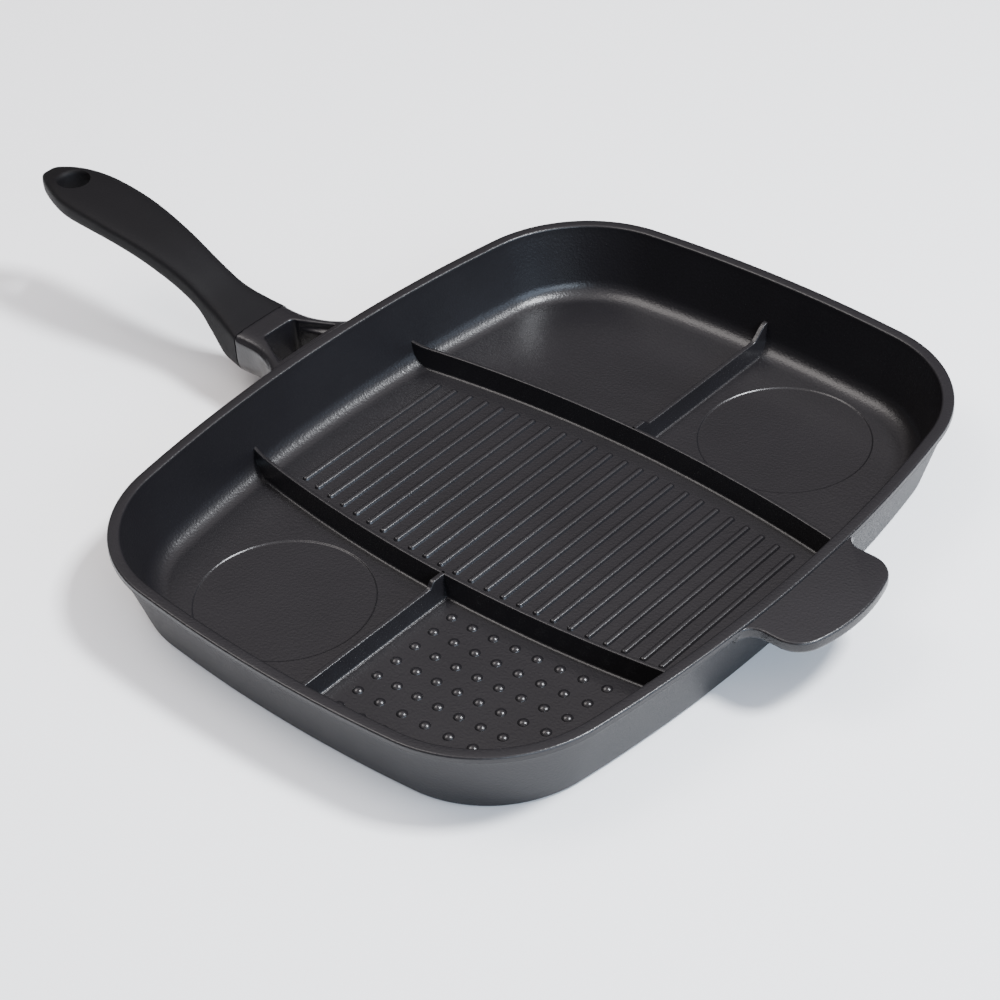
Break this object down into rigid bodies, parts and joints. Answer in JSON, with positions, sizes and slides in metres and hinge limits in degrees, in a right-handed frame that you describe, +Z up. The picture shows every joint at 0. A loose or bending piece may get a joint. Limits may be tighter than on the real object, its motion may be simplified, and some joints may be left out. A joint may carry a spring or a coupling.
{
  "type": "divided frying pan",
  "caption": "Divided frying pan: a ribbed grill zone between bowed dividers, smooth, ring-marked and dotted side zones, a flat helper tab and a raised grip with a hanging hole.",
  "frame": {"origin": "middle of the flat underside, on the surface the pan stands on", "axes": "+X from the grip to the helper tab, +Y across the handle towards the smooth zone, +Z up"},
  "size_m": [0.5337, 0.382, 0.0749],
  "materials": {
    "pan_coating": "die-cast aluminium under a satin black non-stick coating",
    "grip_plastic": "soft-touch matte black",
    "screw_steel": "plain zinc-plated"
  },
  "bodies": {
    "root": {"pan": "pan_coating", "handle_grip": "grip_plastic", "handle_screw": "screw_steel"}
  },
  "joints": []
}
